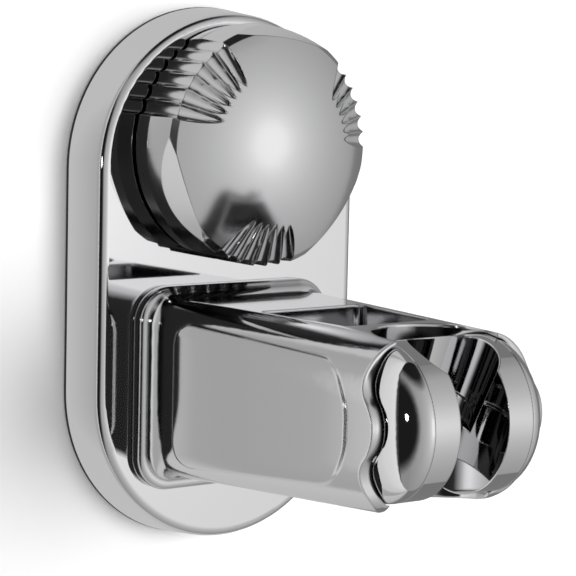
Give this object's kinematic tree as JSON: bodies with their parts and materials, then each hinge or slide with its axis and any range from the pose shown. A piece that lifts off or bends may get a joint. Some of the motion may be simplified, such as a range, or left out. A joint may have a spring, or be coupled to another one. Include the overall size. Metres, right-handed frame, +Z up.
{
  "type": "hand shower holder",
  "caption": "Wall-mounted hand shower holder with a twist-knob suction mount and a swivelling slotted hose cradle on a short arm.",
  "frame": {"origin": "centre of the plate's rear face, on the wall", "axes": "+Z up along the plate, +Y into the wall, +X to the right seen from the room"},
  "size_m": [0.089, 0.1275, 0.151],
  "materials": {
    "chromed_shell": "polished chrome plating on moulded plastic",
    "foam_pad": "matt closed-cell pad",
    "grey_plastic": "plain moulded plastic",
    "screw_steel": "zinc-plated steel",
    "white_plastic": "natural acetal",
    "clear_rubber": "smooth soft plastic",
    "brass_insert": "turned brass"
  },
  "bodies": {
    "wall_unit": {"front_cover": "chromed_shell", "wall_pad": "foam_pad", "back_base": "grey_plastic", "base_screws": "screw_steel", "guide_bush": "white_plastic", "thrust_washer": "white_plastic", "arm": "chromed_shell", "arm_screws": "screw_steel"},
    "cup": {"suction_cup": "clear_rubber", "cup_stud": "screw_steel"},
    "knob": {"knob": "chromed_shell", "knob_core": "grey_plastic", "knob_nut": "brass_insert"},
    "head": {"swivel_head": "chromed_shell", "left_end_cap": "chromed_shell", "right_end_cap": "chromed_shell", "left_friction_ring": "foam_pad", "right_friction_ring": "foam_pad", "left_pivot_pin": "screw_steel", "right_pivot_pin": "screw_steel"}
  },
  "joints": [
    {"name": "knob_turn", "type": "hinge", "parent": "wall_unit", "child": "knob", "pos_m": [0, -0.0169, 0.038], "axis": [0, -1, 0], "range_deg": [0, 540]},
    {"name": "cup_pull", "type": "slide", "parent": "wall_unit", "child": "cup", "axis": [0, -1, 0], "range_m": [0, 0.003], "deforming": ["suction_cup"]},
    {"name": "head_tilt", "type": "hinge", "parent": "wall_unit", "child": "head", "pos_m": [0, -0.107, -0.026], "axis": [1, 0, 0], "range_deg": [-30, 20]}
  ],
  "couplings": [
    {"joint": "cup_pull", "follows": "knob_turn", "m_per_rad": 0.000318}
  ]
}
